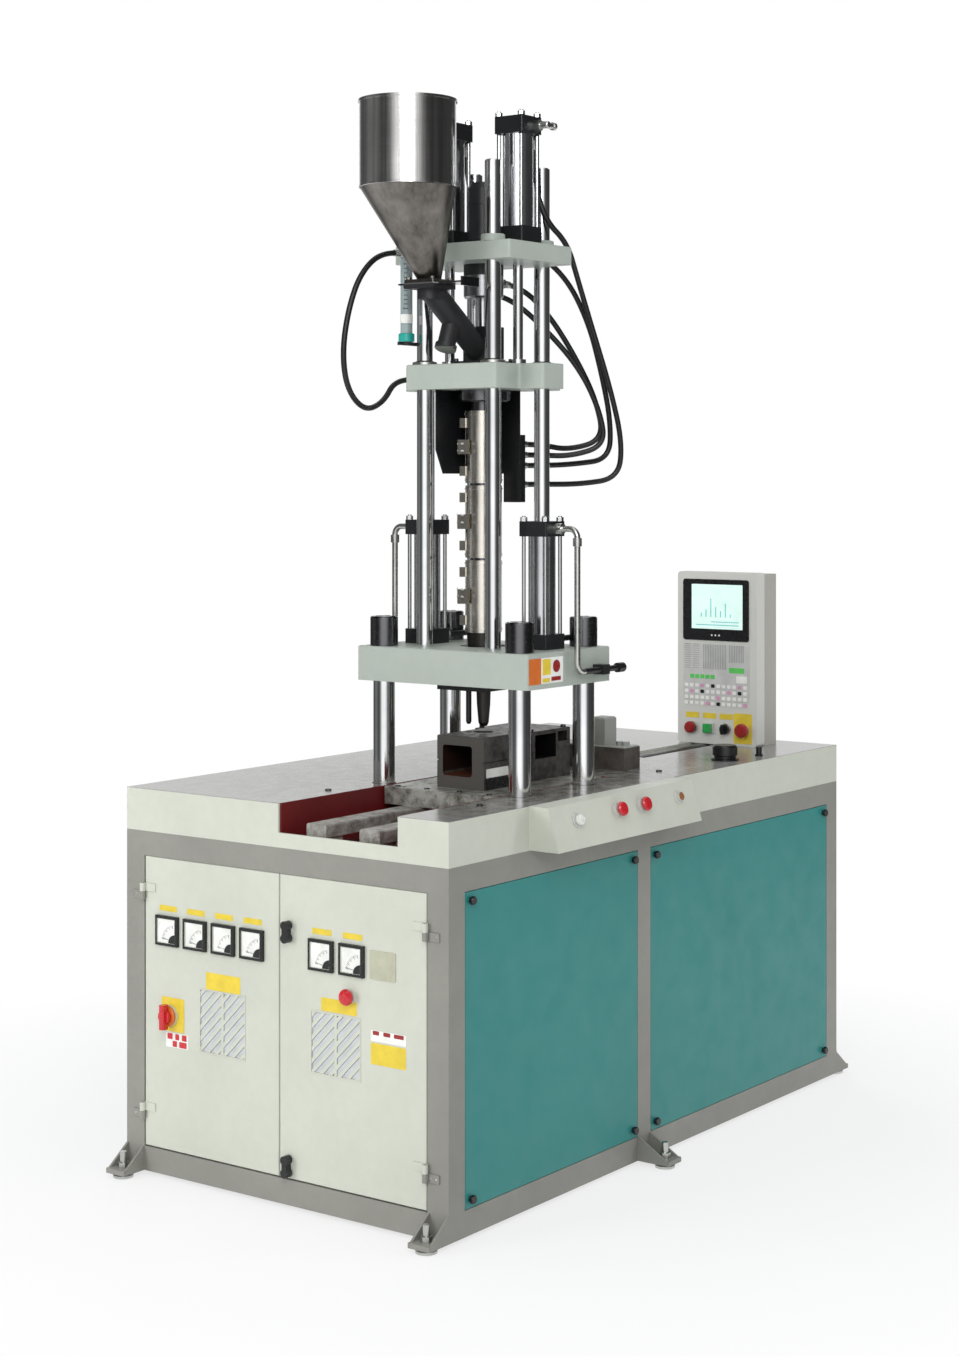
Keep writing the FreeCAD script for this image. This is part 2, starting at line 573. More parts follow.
def box_buttons():
    face = BOX_X[0]
    add("box_stop_button", mushroom((face, STOP_Y, BUTTON_Z), (-1, 0, 0), 17, 8, gap=11.0))
    add("box_emergency_stop", mushroom((face, ESTOP_Y, BUTTON_Z), (-1, 0, 0), 20, 8,
                                       reach=30.0, gap=11.0))
    head = box((face - 20, face - 11), (START_Y - 13, START_Y + 13), (BUTTON_Z - 13, BUTTON_Z + 13))
    head = head.makeChamfer(2, [e for e in head.Edges if e.BoundBox.XMax < face - 19])
    add("box_start_button", fuse(head, rod(8, (face - 12, START_Y, BUTTON_Z),
                                           (face + 16, START_Y, BUTTON_Z))))
    knob = rod(14, (face - 16, SELECTOR_Y, BUTTON_Z), (face - 5, SELECTOR_Y, BUTTON_Z))
    wing = box((face - 26, face - 14), (SELECTOR_Y - 5, SELECTOR_Y + 5), (BUTTON_Z - 14, BUTTON_Z + 14))
    stem = rod(SHAFT_R, (face - 14, SELECTOR_Y, BUTTON_Z), (face + 16, SELECTOR_Y, BUTTON_Z))
    add("box_selector", fuse(knob, wing, stem))


# ---- inside the base ----------------------------------------------------
TANK_TOP = 400.0


def power_pack():
    """Oil tank with a lid; an electric motor, bell housing and pump stand on it."""
    x, top = (FLOOR_BAR_XS[1] - 100, FLOOR_BAR_XS[2] + 100), TANK_TOP
    y = (-Y0 + 60, Y0 - 60)
    tank = box(x, y, (RAIL_LOW, top)).cut(box((x[0] + 5, x[1] - 5), (y[0] + 5, y[1] - 5),
                                              (RAIL_LOW + 5, top)))
    lid = box((x[0] - 12, x[1] + 12), (y[0] - 12, y[1] + 12), (top, top + 12))
    lid = lid.cut(cyl(30, (top - 1, top + 13), x[0] + 90, -250))
    start, axis = x[0] + 170, (0.0, top + 140)
    feet = [box((start + dx, start + dx + 40), (-95, 95), (top + 12, top + 60)) for dx in (30, 230)]
    motor = turned_along([(0, 0), (92, 0), (100, 10), (100, 290), (88, 300), (0, 300)],
                         (start, *axis), (1, 0, 0))
    terminal_box = box((start + 100, start + 200), (-45, 45), (top + 230, top + 290))
    bell = turned_along([(0, 0), (75, 0), (60, 90), (0, 90)], (start + 300, *axis), (1, 0, 0))
    pump = turned_along([(0, 0), (58, 0), (58, 90), (40, 110), (0, 110)], (start + 390, *axis), (1, 0, 0))
    suction = cyl(18, (top + 12, top + 110), start + 440, 0)
    add("power_pack", tank, lid, fuse(feet, motor, terminal_box), bell, fuse(pump, suction))


def electrics_panel():
    """Mounting plate with rows of switchgear facing the doors."""
    x = FLOOR_BAR_XS[0] - 3
    plate = box((x, x + 6), (-Y0 + 40, Y0 - 40), (RAIL_LOW, RAIL_HIGH - 87))
    gears = []
    for z, depth, width, count in ((560, 80, 55, 5), (400, 95, 70, 4), (220, 110, 110, 3)):
        for k in range(count):
            y = -300 + k * 600 / (count - 1)
            gear = box((x - depth, x), (y - width / 2, y + width / 2), (z, z + 90))
            gears.append(gear.makeChamfer(6, [e for e in gear.Edges
                                              if e.BoundBox.XMax < x + 1 - depth
                                              and e.BoundBox.YLength > 1]))
    add("electrics_panel", plate, gears)


# ---- clamp: bars, crosshead and platen ----------------------------------
NUT_R, NUT_H = 35.0, 74.0
CROSSHEAD_Z = (CLAMP_CYL_BOTTOM - 170, CLAMP_CYL_BOTTOM - 110)


def tie_bars():
    ends = (CROSSHEAD_Z[0] - NUT_H + 10, PLATEN_Z[1] + NUT_H - 10)
    bars = []
    for x, y in four(TIE_X, TIE_Y):
        bars.append(turned([(0, 0), (TIE_R - 2, 0), (TIE_R, 2), (TIE_R, ends[1] - ends[0] - 2),
                            (TIE_R - 2, ends[1] - ends[0]), (0, ends[1] - ends[0])], x, y, ends[0]))
    add("tie_bars", bars)


def ring_nut(x, y, seat, up):
    """Capped round nut with two crossing spanner slots; it bears at seat."""
    profile = [(TIE_R + RUN, 0), (NUT_R, 0), (NUT_R, NUT_H - 3), (NUT_R - 3, NUT_H), (0, NUT_H),
               (0, NUT_H - 10), (TIE_R + RUN, NUT_H - 10)]
    nut = turned_along(profile, (x, y, seat), (0, 0, up))
    end = sorted((seat + up * (NUT_H - 5), seat + up * (NUT_H + 1)))
    return cut(nut, around(x, y, 5, NUT_R + 1, end), around(x, y, NUT_R + 1, 5, end))


def ring_nuts():
    nuts = [ring_nut(x, y, PLATEN_Z[1], 1) for x, y in four(TIE_X, TIE_Y)]
    nuts += [ring_nut(x, y, CROSSHEAD_Z[0], -1) for x, y in four(TIE_X, TIE_Y)]
    add("ring_nuts", nuts)


def clamp_crosshead():
    plate = round_vertical(around(TOWER_X, TOWER_Y, 190, 255, CROSSHEAD_Z), 12)
    plate = chamfer_top(plate, CROSSHEAD_Z[1], 3)
    ram = turned([(0, 0), (RAM_R, 0), (RAM_R, 396), (RAM_R - 4, 400), (0, 400)],
                 TOWER_X, TOWER_Y, CROSSHEAD_Z[1])
    bores = [cyl(TIE_R + RUN, CROSSHEAD_Z, x, y) for x, y in four(TIE_X, TIE_Y)]
    add("clamp_crosshead", cut(fuse(plate, ram), bores))


COLUMN_SEAT = 30.0          # the guide columns stand this deep in the platen


def upper_platen():
    plate = round_vertical(around(TOWER_X, TOWER_Y, 180, 262, PLATEN_Z), 8)
    plate = chamfer_top(plate, PLATEN_Z[1], 3)
    holes = [cyl(TIE_R + RUN, PLATEN_Z, x, y) for x, y in four(TIE_X, TIE_Y)]
    holes += [cyl(COLUMN_R + RUN, (PLATEN_Z[1] - COLUMN_SEAT, PLATEN_Z[1]), x, y)
              for x, y in four(COLUMN_AT, COLUMN_AT)]
    holes.append(cyl(NOZZLE_R + 20, PLATEN_Z))
    taps = [cyl(5, (PLATEN_Z[0] - 1, PLATEN_Z[0] + 25), x, y) for x, y in four(150, 100)]
    add("upper_platen", cut(plate, holes, taps))


GUIDE_PIN = (TOWER_X - 22, TOWER_Y + 30)
PIN_R = 7.0


def mould_plate():
    z = (PLATEN_Z[0] - 20, PLATEN_Z[0])
    plate = around(TOWER_X, TOWER_Y, 95, 74, z).cut(cyl(30, (z[0] - 1, z[1] + 1)))
    tip = MOULD_TOP + 20
    pin = turned([(0, 0), (PIN_R - 3, 0), (PIN_R, 6), (PIN_R, z[0] - tip), (0, z[0] - tip)], *GUIDE_PIN, tip)
    add("mould_plate", fuse(plate, pin))


def lower_mould():
    """Left: mould half with an open cavity under the nozzle. Right: fixture."""
    x, y = (TOWER_X - 118, TOWER_X + 86), (TOWER_Y - 87, TOWER_Y + 56)
    left = chamfer_top(box(x, y, (DECK_TOP, MOULD_TOP)), MOULD_TOP, 2)
    cavity = box((x[0] - 1, TOWER_X + 58), (y[0] + 36, y[1] - 17), (DECK_TOP + 30, MOULD_TOP - 23))
    cavity = cavity.makeFillet(8, [e for e in cavity.Edges if e.BoundBox.XLength > 10])
    sprue = cyl(26, (MOULD_TOP - 30, MOULD_TOP + 1))
    pin_hole = cyl(PIN_R + 1.5, (MOULD_TOP - 30, MOULD_TOP + 1), *GUIDE_PIN)
    split = [box((x[0] - 1, x[1] + 1), ys, (DECK_TOP + 66, DECK_TOP + 69))
             for ys in ((y[0] - 1, y[0] + 4), (y[1] - 4, y[1] + 1))]
    x, y, top = (TOWER_X + 99, TOWER_X + 270), (TOWER_Y - 79, TOWER_Y + 100), DECK_TOP + 124
    right = chamfer_top(box(x, y, (DECK_TOP, top)), top, 2)
    window = box((x[0] + 14, x[1] - 64), (y[0] - 1, y[1] - 34), (top - 70, top - 10))
    pocket = box((x[1] - 56, x[1] - 14), (y[0] - 1, y[0] + 30), (top - 34, top - 8))
    add("lower_mould", cut(left, cavity, sprue, pin_hole, split), cut(right, window, pocket))


def guide_columns():
    height = COLUMN_TOP - PLATEN_Z[1] + COLUMN_SEAT
    add("guide_columns", [turned([(0, 0), (COLUMN_R, 0), (COLUMN_R, height - 3), (COLUMN_R - 3, height),
                                  (0, height)], x, y, PLATEN_Z[1] - COLUMN_SEAT)
                          for x, y in four(COLUMN_AT, COLUMN_AT)])


# ---- hydraulic cylinders of the tower -----------------------------------
GLAND = 0.2                 # piston clearance in its bore
HEAD = 37.0
CARRIAGE_TUBE = 240.0       # tube length between the heads
CARRIAGE_BORE, CARRIAGE_ROD = 28.8, 19.0
CARRIAGE_TIE = 32.0         # tie rods stand this far from the axis, each way
INJECT_TUBE = 230.0
INJECT_BORE, INJECT_ROD = 33.0, 12.5
INJECT_TIE = 34.0
CARRIAGE_HEADS = ((PLATEN_Z[1], PLATEN_Z[1] + HEAD),
                  (PLATEN_Z[1] + HEAD + CARRIAGE_TUBE, PLATEN_Z[1] + 2 * HEAD + CARRIAGE_TUBE))
INJECT_HEADS = ((INJECT_Z[1], INJECT_Z[1] + HEAD + 6),
                (INJECT_Z[1] + HEAD + 6 + INJECT_TUBE, INJECT_Z[1] + 2 * HEAD + 11 + INJECT_TUBE))


def tie_rod_cylinder(y, heads, half, tube_r, bore_r, rod_r, tie_at, rod_end):
    """Tube and square heads held by four tie rods. Returns (tube, heads)."""
    (a, b), (c, d) = heads
    tube = cyl(tube_r, (b, c), y=y).cut(cyl(bore_r, (b, c), y=y))
    blocks = [round_vertical(around(TOWER_X, y, half, half, z), 4) for z in heads]
    blocks[rod_end] = blocks[rod_end].cut(cyl(rod_r + RUN, heads[rod_end], y=y))
    ties = [cyl(5, (b - 4, d + 13), x, ty) for x, ty in four(tie_at, tie_at, TOWER_X, y)]
    nuts = [hexagon(9, (d, d + 10), x, ty) for x, ty in four(tie_at, tie_at, TOWER_X, y)]
    return tube, fuse(blocks, ties, nuts)


def carriage_cylinders():
    tubes, heads = [], []
    for side in (-1, 1):
        tube, head = tie_rod_cylinder(TOWER_Y + side * CARRIAGE_CYL_Y, CARRIAGE_HEADS, 41, 34,
                                      CARRIAGE_BORE, CARRIAGE_ROD, CARRIAGE_TIE, 1)
        tubes.append(tube)
        heads.append(head)
    add("carriage_cylinder_tubes", tubes)
    add("carriage_cylinder_heads", heads)


def injection_cylinders():
    tubes, heads = [], []
    x, low = TOWER_X + CYLINDER_PORT[0], CYLINDER_PORT[1]
    for side in (-1, 1):
        y = TOWER_Y + side * INJECT_CYL_Y
        tube, head = tie_rod_cylinder(y, INJECT_HEADS, 42.5, 38, INJECT_BORE, INJECT_ROD, INJECT_TIE, 0)
        port = fuse(rod(10, (TOWER_X + 40, y, low + 20), (x, y, low + 20)), cyl(11, (low, low + 31), x, y))
        tubes.append(tube)
        heads.append(fuse(head, port))
    add("injection_cylinder_tubes", tubes)
    add("injection_cylinder_heads", heads)


def cylinder_rods():
    """Piston rods, all fast to the carriage plate: two below it, two above."""
    rods = []
    for side in (-1, 1):
        low = CARRIAGE_HEADS[0][1] + 12
        r, end = CARRIAGE_BORE - GLAND - 0.2, CARRIAGE_Z[0] - low
        rods.append(turned([(0, 0), (r, 0), (r, 25), (CARRIAGE_ROD, 25), (CARRIAGE_ROD, end), (0, end)],
                           TOWER_X, TOWER_Y + side * CARRIAGE_CYL_Y, low))
        r, end = INJECT_BORE - GLAND - 0.2, INJECT_HEADS[0][1] + 117 - CARRIAGE_Z[1]
        rods.append(turned([(0, 0), (20, 0), (20, 12), (INJECT_ROD, 14), (INJECT_ROD, end - 15),
                            (r, end - 15), (r, end), (0, end)],
                           TOWER_X, TOWER_Y + side * INJECT_CYL_Y, CARRIAGE_Z[1]))
    add("cylinder_rods", rods)


# ---- pipes on the platen ------------------------------------------------
def bent_tube(points, dia, bend=None, show=""):
    """Round tube along straight runs joined by tangent arcs."""
    pts = [V(*p) for p in points]
    runs = [(b - a) for a, b in zip(pts, pts[1:])]
    edges, start, radii = [], pts[0], []
    for i in range(1, len(pts) - 1):
        u, w = V(runs[i - 1]), V(runs[i])
        shorter = min(u.Length, w.Length)
        u.normalize()
        w.normalize()
        half = u.getAngle(w) / 2
        radius = bend if bend else 0.45 * shorter / math.tan(half)
        radii.append(radius)
        t = radius * math.tan(half)
        a, b = pts[i] - u * t, pts[i] + w * t
        inward = (w - u)
        inward.normalize()
        mid = pts[i] + inward * (radius / math.cos(half) - radius)
        edges.append(Part.LineSegment(start, a).toShape())
        edges.append(Part.Arc(a, mid, b).toShape())
        start = b
    edges.append(Part.LineSegment(start, pts[-1]).toShape())
    path = Part.Wire(edges)
    first = V(runs[0])
    first.normalize()
    ring = Part.Wire(Part.Circle(pts[0], first, dia / 2).toShape())
    tube = path.makePipeShell([ring], True, False)
    if show:
        length = sum(e.Length for e in edges)
        print(show, "length", round(length), "min radius", round(min(radii), 1),
              "volume ratio", round(tube.Volume / (length * math.pi * dia * dia / 4), 4))
    return tube


PIPE = 15.0
PIPE_OUT = 283.0            # pipes stand off the platen's side here


def union(point, axis, r=12.0, length=22.0):
    """Grey pipe coupling centred on a pipe."""
    a = V(*axis)
    a.normalize()
    p = V(*point)
    return rod(r, tuple(p - a * (length / 2)), tuple(p + a * (length / 2)))


def platen_pipes():
    parts = []
    high, low = CARRIAGE_HEADS[1][0] + 19, PLATEN_Z[0] + 33
    port = PLATEN_Z[1] + 19
    for side in (-1, 1):
        y_head = TOWER_Y + side * (CARRIAGE_CYL_Y + 41)
        y_out = TOWER_Y + side * PIPE_OUT
        route = [(TOWER_X, y_head, high), (TOWER_X, y_out, high), (TOWER_X, y_out, low),
                 (TOWER_X + 196, y_out, low)]
        pipe = bent_tube(route, PIPE, 22)
        clip = box((TOWER_X + 100, TOWER_X + 130),
                   sorted((TOWER_Y + side * 262, TOWER_Y + side * (PIPE_OUT + 10))), (low - 12, low + 12))
        y_low = TOWER_Y + side * (CARRIAGE_CYL_Y - 18)
        parts.append(fuse(pipe, clip, union((TOWER_X, y_head + side * 11, high), (0, 1, 0), 13, 22),
                          union((TOWER_X, y_out, high - 32), (0, 0, 1), 11, 20),
                          union((TOWER_X + 190, y_out, low), (1, 0, 0), 12, 26)))
        parts.append(fuse(rod(PIPE / 2, (TOWER_X + 41, y_low, port), (TOWER_X + 205, y_low, port)),
                          union((TOWER_X + 52, y_low, port), (1, 0, 0), 13, 22),
                          union((TOWER_X + 200, y_low, port), (1, 0, 0), 13, 28)))
    add("platen_pipes", parts)


# ---- carriage and barrel ------------------------------------------------
FLANGE_R = 70.0
NOZZLE_R = 40.0


def carriage_plate():
    plate = around(TOWER_X, TOWER_Y, 140, 140, CARRIAGE_Z)
    ears = around(TOWER_X, TOWER_Y, 45, CARRIAGE_CYL_Y + 37, CARRIAGE_Z)
    body = round_vertical(fuse(plate, ears), 8)
    body = chamfer_top(body, CARRIAGE_Z[1], 2)
    holes = [cyl(COLUMN_R + RUN, CARRIAGE_Z, x, y) for x, y in four(COLUMN_AT, COLUMN_AT)]
    add("carriage_plate", cut(body, holes, cyl(BARREL_R + RUN, CARRIAGE_Z)))


def screw_barrel():
    low, high = CARRIAGE_Z
    barrel = turned([(BARREL_BORE, BARREL_Z), (BARREL_R, BARREL_Z), (BARREL_R, low - 30),
                     (FLANGE_R - 4, low - 30), (FLANGE_R, low - 26), (FLANGE_R, low), (BARREL_R, low),
                     (BARREL_R, high), (BARREL_BORE, high)], TOWER_X, TOWER_Y)
    add("screw_barrel", barrel)


def nozzle():
    """Heated adapter under the barrel, then a long slim tip; heights from the barrel's end."""
    add("nozzle", turned([(5, -233), (9, -235), (13, -226), (17, -180), (19, -120), (30, -90),
                          (NOZZLE_R, -80), (NOZZLE_R, 0), (12, 0), (5, -30)],
                         TOWER_X, TOWER_Y, BARREL_Z))


BAND_R = 46.0
BAND_COUNT, BAND_GAP = 3, 6.0
BAND_Z = (BARREL_Z + 0.5, CARRIAGE_Z[0] - 52)


def heater_bands():
    """Split bands with clamping ears and a terminal block at the slit."""
    turn = 135.0
    bands = []
    pitch = (BAND_Z[1] - BAND_Z[0] + BAND_GAP) / BAND_COUNT
    for k in range(BAND_COUNT):
        lo = BAND_Z[0] + k * pitch
        hi = lo + pitch - BAND_GAP
        band = cyl(BAND_R, (lo, hi)).cut(cyl(BARREL_R + RUN, (lo, hi)))
        slit = box((TOWER_X + BARREL_R - 5, TOWER_X + BAND_R + 14), (TOWER_Y - 2, TOWER_Y + 2), (lo, hi))
        ears = [box((TOWER_X + BAND_R - 3, TOWER_X + BAND_R + 14),
                    sorted((TOWER_Y + s * 2, TOWER_Y + s * 8)), (z - 12, z + 12))
                for z in (lo + 30, hi - 30) for s in (-1, 1)]
        screws = [rod(3, (TOWER_X + BAND_R + 8, TOWER_Y - 12, z), (TOWER_X + BAND_R + 8, TOWER_Y + 12, z))
                  for z in (lo + 30, hi - 30)]
        mid = (lo + hi) / 2
        terminal = box((TOWER_X + BAND_R - 4, TOWER_X + BAND_R + 22), (TOWER_Y + 9, TOWER_Y + 30),
                       (mid - 18, mid + 18))
        beads = [cyl(BAND_R + 1.5, (z, z + 4)).cut(cyl(BAND_R - 1, (z, z + 4))) for z in (lo + 6, hi - 10)]
        band = fuse(cut(fuse(band, beads), slit), ears, screws, terminal)
        band.rotate(V(TOWER_X, TOWER_Y, 0), V(0, 0, 1), turn)
        bands.append(band)
    add("heater_bands", bands)


THROAT_TOP = CARRIAGE_Z[1] + 96
SCREW_Z = (BARREL_Z + 55, THROAT_TOP + 146)
FLIGHT_R, ROOT_R, PITCH = BARREL_BORE - 0.4, 13.0, 36.0
DRIVE_R = 20.0              # the screw's drive shaft


def screw():
    """Plasticising screw: pointed tip, helical flight, drive shaft."""
    low, high = SCREW_Z
    root = turned([(0, low), (ROOT_R, low + 30), (ROOT_R, THROAT_TOP), (DRIVE_R, THROAT_TOP),
                   (DRIVE_R, high - 2), (DRIVE_R - 2, high), (0, high)], TOWER_X, TOWER_Y)
    start, end = low + 32, THROAT_TOP - 4
    helix = Part.makeHelix(PITCH, end - start - 8, ROOT_R - 1)
    tooth = Part.Wire(Part.makePolygon([V(ROOT_R - 1, 0, 0), V(FLIGHT_R, 0, 1), V(FLIGHT_R, 0, 5),
                                        V(ROOT_R - 1, 0, 6), V(ROOT_R - 1, 0, 0)]))
    flight = Part.Wire(helix.Edges).makePipeShell([tooth], True, True)
    flight.translate(V(TOWER_X, TOWER_Y, start))
    add("screw", fuse(root, flight))


# ---- feed ---------------------------------------------------------------
FEED_X = -222.0             # hopper mouth, from the tower axis
FEED_TOP = CARRIAGE_Z[1] + 187
FEED_BORE, FEED_WALL = 24.0, 6.0
MOUTH_HALF = 45.0
GATE_T = 4.0


def feed_throat():
    """Block on the carriage, sloping chute with a capped branch, and the hopper's seat."""
    z, r = CARRIAGE_Z[1], FEED_BORE + FEED_WALL
    block = round_vertical(around(TOWER_X, TOWER_Y, 38, 38, (z, THROAT_TOP)), 5)
    base = around(TOWER_X, TOWER_Y, 58, 58, (z, z + 10))
    a, b = V(TOWER_X - 10, TOWER_Y, z + 28), V(TOWER_X + FEED_X, TOWER_Y, FEED_TOP - 8)
    chute = rod(r, tuple(a), tuple(b))
    inside = rod(FEED_BORE, (TOWER_X, TOWER_Y, z + 21), tuple(b + (b - a) * 0.02))
    mouth = (TOWER_X + FEED_X, TOWER_Y)
    neck = cyl(r, (FEED_TOP - 35, FEED_TOP), *mouth)
    flange = around(*mouth, MOUTH_HALF, MOUTH_HALF, (FEED_TOP - 10, FEED_TOP))
    strips = [around(mouth[0] + s * (MOUTH_HALF - 5), mouth[1], 5, MOUTH_HALF, (FEED_TOP, FEED_TOP + GATE_T))
              for s in (-1, 1)]
    branch_a, branch_b = (TOWER_X - 130, TOWER_Y, z + 110), (TOWER_X - 160, TOWER_Y, z + 32)
    branch = rod(r - 7.5, branch_a, branch_b)
    axis = V(*branch_b) - V(*branch_a)
    cap = turned_along([(0, -14), (r - 3, -14), (r - 3, -2), (r - 6, 0), (0, 0)], branch_b, tuple(axis))
    # the chute is trimmed so that it ends inside the mouth flange
    trim = around(*mouth, 400, 60, (FEED_TOP, FEED_TOP + 60))
    body = fuse(block, base, chute.cut(trim), neck, flange, branch, cap)
    body = cut(body, inside.cut(trim), cyl(FEED_BORE, (FEED_TOP - 20, FEED_TOP + 1), *mouth),
               cyl(DRIVE_R + 0.4, (z - 1, THROAT_TOP + 6)))
    add("feed_throat", fuse(body, strips))


def hopper_gate():
    x, half = TOWER_X + FEED_X, MOUTH_HALF - 10.5
    z = (FEED_TOP, FEED_TOP + GATE_T)
    plate = box((x - half, x + half), (TOWER_Y - 120, TOWER_Y + 70), z)
    grip = box((x - half, x + half), (TOWER_Y - 124, TOWER_Y - 120), (z[0] - 8, z[1] + 10))
    add("hopper_gate", cut(fuse(plate, grip), cyl(FEED_BORE, (z[0] - 1, z[1] + 1), x, TOWER_Y)))


HOPPER_X = -308.0           # hopper axis, from the tower axis
HOPPER_R = 116.5
HOPPER_WALL = 2.5
HOPPER_Z = (FEED_TOP + GATE_T + 6, FEED_TOP + GATE_T + 226, FEED_TOP + GATE_T + 434)


def hopper():
    """Lopsided cone over the gate, a straight drum above, open at the top."""
    wall, neck = HOPPER_WALL, FEED_BORE + 4
    x_low, x_high = TOWER_X + FEED_X, TOWER_X + HOPPER_X

    def ring(r, x, z):
        return Part.Wire(Part.Circle(V(x, TOWER_Y, z), V(0, 0, 1), r).toShape())

    z0, z1, z2 = HOPPER_Z
    cone = Part.makeLoft([ring(neck, x_low, z0), ring(HOPPER_R, x_high, z1)], True, True)
    cone_in = Part.makeLoft([ring(neck - wall, x_low, z0), ring(HOPPER_R - wall, x_high, z1)], True, True)
    flange = round_vertical(around(x_low, TOWER_Y, MOUTH_HALF, MOUTH_HALF, (z0 - 6, z0 + 2)), 5)
    drum = cyl(HOPPER_R, (z1, z2), x_high)
    rim = turned([(HOPPER_R - wall, z2 - 6), (HOPPER_R + 3, z2 - 6), (HOPPER_R + 3, z2), (HOPPER_R - wall, z2)],
                 x_high, TOWER_Y)
    weld = turned([(HOPPER_R - 1, z1 - 3), (HOPPER_R + 1.5, z1 - 1.5), (HOPPER_R + 1.5, z1 + 1.5),
                   (HOPPER_R - 1, z1 + 3)], x_high, TOWER_Y)
    body = fuse(cone, flange, drum, rim, weld)
    body = cut(body, cone_in, cyl(HOPPER_R - wall, (z1, z2 + 1), x_high),
               cyl(neck - wall, (z0 - 7, z0), x_low))
    bolts = [hexagon(6, (z0 + 2, z0 + 8), x, y) for x, y in four(MOUTH_HALF - 9, MOUTH_HALF - 9, x_low)]
    add("hopper", fuse(body, bolts))


# ---- fittings on the carriage -------------------------------------------
MANIFOLD_X = 110.0          # hoses meet this face, from the tower axis
MANIFOLD_Y = -33.0
MANIFOLD_ZS = [CARRIAGE_Z[0] - d for d in (236.0, 188.0, 134.0, 161.0)]
GUARD_BOTTOM = CARRIAGE_Z[0] - 209


def at(x, y, z):
    """Point given from the tower axis."""
    return (TOWER_X + x, TOWER_Y + y, z)


def from_axis(x, y, z):
    return box((TOWER_X + x[0], TOWER_X + x[1]), (TOWER_Y + y[0], TOWER_Y + y[1]), z)


def barrel_guard():
    """Bent sheet round the upper barrel, with the hose manifold on it."""
    top, low = CARRIAGE_Z[0], GUARD_BOTTOM
    side = FLANGE_R + 2
    right = [at(side, y, z) for y, z in ((76, top), (76, low + 30), (50, low), (-40, low), (-60, low + 30),
                                       (-60, top))]
    back = [at(x, side + 1, z) for x, z in ((75, top), (75, low + 30), (40, low), (-70, low), (-100, low + 60),
                                      (-100, top))]
    manifold = from_axis((side + 3, MANIFOLD_X - 8), (MANIFOLD_Y - 25, MANIFOLD_Y + 25),
                         (low - 72, low + 98))
    manifold = manifold.makeChamfer(3, [e for e in manifold.Edges
                                        if e.BoundBox.XMin > TOWER_X + MANIFOLD_X - 9])
    strap = from_axis((side, side + 6), (MANIFOLD_Y - 20, MANIFOLD_Y + 20), (low - 72, low + 33))
    ports = [rod(11, at(MANIFOLD_X - 10, MANIFOLD_Y, z), at(MANIFOLD_X, MANIFOLD_Y, z)) for z in MANIFOLD_ZS]
    add("barrel_guard", fuse(polygon(right).extrude(V(3, 0, 0)), polygon(back).extrude(V(0, 3, 0)),
                             strap, manifold, ports))


FLOW = (-160.0, 120.0)      # flow tube, from the tower axis
FLOW_Z = (CARRIAGE_Z[1] + 56, CARRIAGE_Z[1] + 264)
FLOW_CAP = 21.0
POST = (-71.0, 132.0)


def flow_meter():
    """Glass water-flow tube between two caps, on an arm from the carriage."""
    x, y = TOWER_X + FLOW[0], TOWER_Y + FLOW[1]
    caps = [turned([(0, 0), (18, 0), (20, 2), (20, FLOW_CAP - 2), (18, FLOW_CAP), (0, FLOW_CAP)], x, y, z)
            for z in FLOW_Z]
    glass = (FLOW_Z[0] + FLOW_CAP, FLOW_Z[1])
    tube = cyl(15, glass, x, y).cut(cyl(12, glass, x, y))
    spindle = cyl(2, glass, x, y)
    bobbin = turned([(2, 0), (6, 0), (10, 16), (10, 26), (2, 26)], x, y, FLOW_Z[0] + 46)
    arm_z = (FLOW_Z[0] - 8, FLOW_Z[0] + 1)
    arm = from_axis((FLOW[0] - 16, POST[0] + 6), (POST[1] - 5, POST[1] + 4), arm_z)
    base = from_axis((POST[0] - 13, POST[0] + 13), (POST[1] - 6, POST[1] + 6),
                     (CARRIAGE_Z[1], CARRIAGE_Z[1] + 6))
    post = cyl(4, (CARRIAGE_Z[1], arm_z[1]), TOWER_X + POST[0], TOWER_Y + POST[1])
    outlet = rod(9, (x - 22, y, FLOW_Z[1] + 10), (x - 10, y, FLOW_Z[1] + 10))
    add("flow_meter", fuse(caps, tube, spindle, bobbin, base, post, arm, outlet))


# ---- injection plate and screw drive ------------------------------------
HUB_R = 35.0


def injection_plate():
    plate = round_vertical(around(TOWER_X, TOWER_Y, 135, 177, INJECT_Z), 6)
    plate = chamfer_top(plate, INJECT_Z[1], 2)
    places = four(COLUMN_AT, COLUMN_AT)
    collars = [turned([(0, 0), (30, 0), (30, 15), (28, 17), (0, 17)], x, y, INJECT_Z[1]) for x, y in places]
    holes = [cyl(COLUMN_R + RUN, (INJECT_Z[0], INJECT_Z[1] + 20), x, y) for x, y in places]
    holes += [cyl(INJECT_ROD + 0.5, INJECT_Z, y=TOWER_Y + s * INJECT_CYL_Y) for s in (-1, 1)]
    holes.append(cyl(HUB_R + RUN, INJECT_Z))
    add("injection_plate", cut(fuse(plate, collars), holes))


HOUSING_PORTS = ((-20.0, INJECT_Z[0] - 45), (15.0, INJECT_Z[0] - 70))


def screw_drive():
    """Bearing housing under the injection plate, hub through it and motor above."""
    low, high = INJECT_Z
    r, socket = DRIVE_R + RUN, SCREW_Z[1] + 2
    body = turned([(r, low - 85), (46, low - 85), (50, low - 80), (50, low), (HUB_R, low), (HUB_R, high),
                   (40, high), (40, high + 145), (34, high + 160), (0, high + 160), (0, socket), (r, socket)],
                  TOWER_X, TOWER_Y)
    ports = [rod(10, at(30, y, z), at(56, y, z)) for y, z in HOUSING_PORTS]
    ribs = [cyl(42, (z, z + 8)).cut(cyl(38, (z, z + 8))) for z in (high + 15, high + 105)]
    add("screw_drive", cut(fuse(body, ribs, ports), cyl(r, (low - 86, socket))))


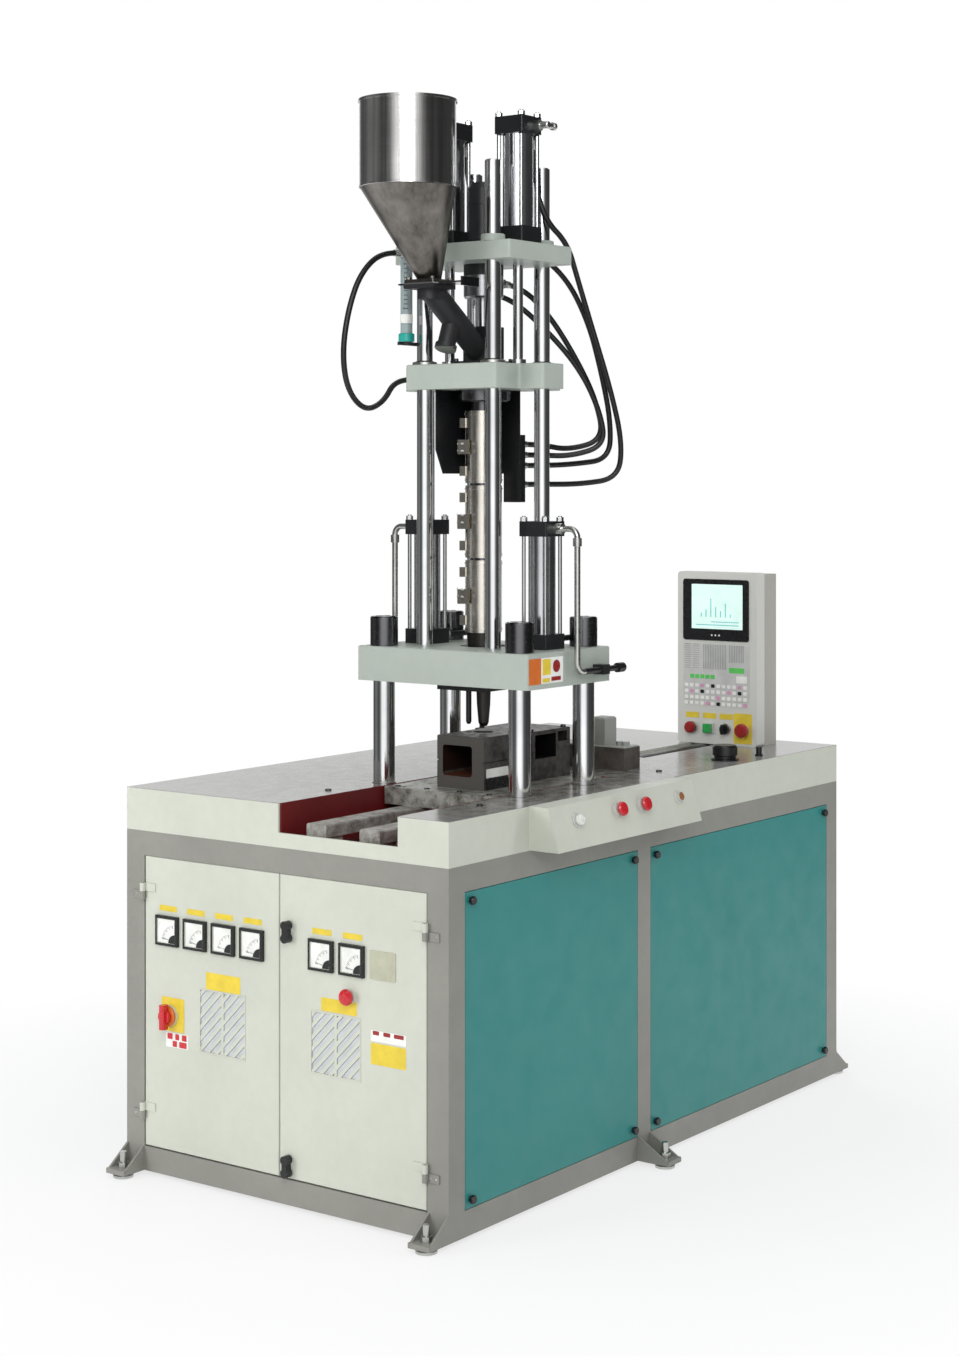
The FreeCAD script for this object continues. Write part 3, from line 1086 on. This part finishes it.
# ---- hoses --------------------------------------------------------------
# Routes are picked by hand, from the tower axis; each starts and ends square
# to its fitting.
HOSE = 14.0
CYLINDER_PORT = (70.0, INJECT_HEADS[1][0] - 3)
HOSES = {
    "hose_1": [(70, -106, 2565), (70, -106, 2460), (68, -140, 2360), (150, -152, 2308),
               (227, -131, 2225), (291, -134, 2100), (347, -152, 1950), (393, -160, 1810),
               (402, -142, 1715), (313, -80, 1700), (215, -33, 1700), (110, -33, 1700)],
    "hose_2": [(70, 106, 2565), (70, 106, 2460), (74, 50, 2365), (150, -20, 2312),
               (235, -85, 2240), (311, -109, 2120), (352, -123, 1985), (388, -127, 1865),
               (397, -118, 1765), (304, -68, 1752), (215, -33, 1748), (110, -33, 1748)],
    "hose_3": [(56, -20, 2205), (130, -20, 2205), (196, -64, 2135), (263, -105, 2020),
               (316, -130, 1915), (345, -134, 1815), (272, -72, 1788), (205, -33, 1802),
               (110, -33, 1802)],
    "hose_4": [(56, 15, 2180), (130, 15, 2180), (188, -70, 2088), (249, -128, 1990),
               (299, -153, 1885), (318, -156, 1800), (254, -93, 1772), (195, -33, 1775),
               (110, -33, 1775)],
    "air_hose": [(-182, 120, 2272), (-255, 120, 2272), (-325, 132, 2215), (-362, 140, 2125),
                 (-378, 146, 2020), (-350, 154, 1930), (-270, 164, 1880), (-185, 172, 1905),
                 (-130, 178, 1965), (-55, 178, 1965)],
}


def hoses():
    for name, route in HOSES.items():
        add(name, bent_tube([at(*p) for p in route], HOSE, show=name))


# ---- build --------------------------------------------------------------
SECTIONS = (
    base_frame, levelling_feet, bolster_plate, clamp_cylinder, cover_panels, panel_knobs,
    deck, channel_tray, table_rails, operator_console, console_buttons, oil_filler_cap,
    table_drive, slide_table, table_bridge, doors, main_switch_handle, door_locks,
    door_stop_button, control_box, box_buttons, power_pack, electrics_panel,
    tie_bars, ring_nuts, clamp_crosshead, upper_platen, mould_plate, lower_mould,
    guide_columns, carriage_cylinders, injection_cylinders, cylinder_rods, platen_pipes,
    carriage_plate, screw_barrel, nozzle, heater_bands, screw, feed_throat, hopper_gate,
    hopper, barrel_guard, flow_meter, injection_plate, screw_drive, hoses)

for section in SECTIONS:
    section()

for name, shape in NODES.items():
    shape.exportStep("parts/" + name + ".step")
    if not shape.isValid() or any(s.Volume <= 0 for s in shape.Solids):
        print("CHECK", name, "is not a valid solid")
    print(name, len(shape.Solids), "solids", round(shape.Volume / 1000.0), "cm3")
